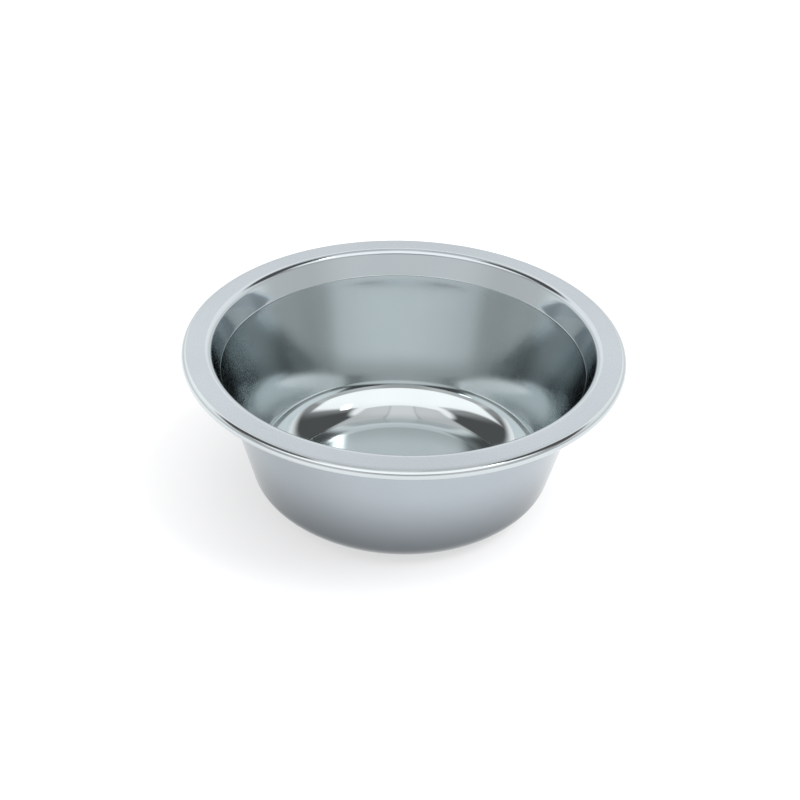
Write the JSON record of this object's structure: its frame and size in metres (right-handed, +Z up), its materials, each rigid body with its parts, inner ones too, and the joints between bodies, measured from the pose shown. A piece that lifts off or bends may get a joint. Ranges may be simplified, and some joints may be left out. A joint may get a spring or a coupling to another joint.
{
  "type": "pet food bowl",
  "caption": "Wide-rimmed round pet food bowl drawn from one sheet of steel: flat base, leaning wall with a flared neck, gently falling rim and a rolled edge.",
  "frame": {"origin": "under the middle of the bowl, on the surface that it stands on", "axes": "+Z up along the bowl's axis, X and Y level; the bowl is round, so no level direction is special"},
  "size_m": [0.17, 0.17, 0.0648],
  "materials": {
    "stainless_steel": "mirror polished inside and on the rolled edge, satin polished on the rim and on the outside of the wall"
  },
  "bodies": {
    "root": {"bowl": "stainless_steel"}
  },
  "joints": []
}
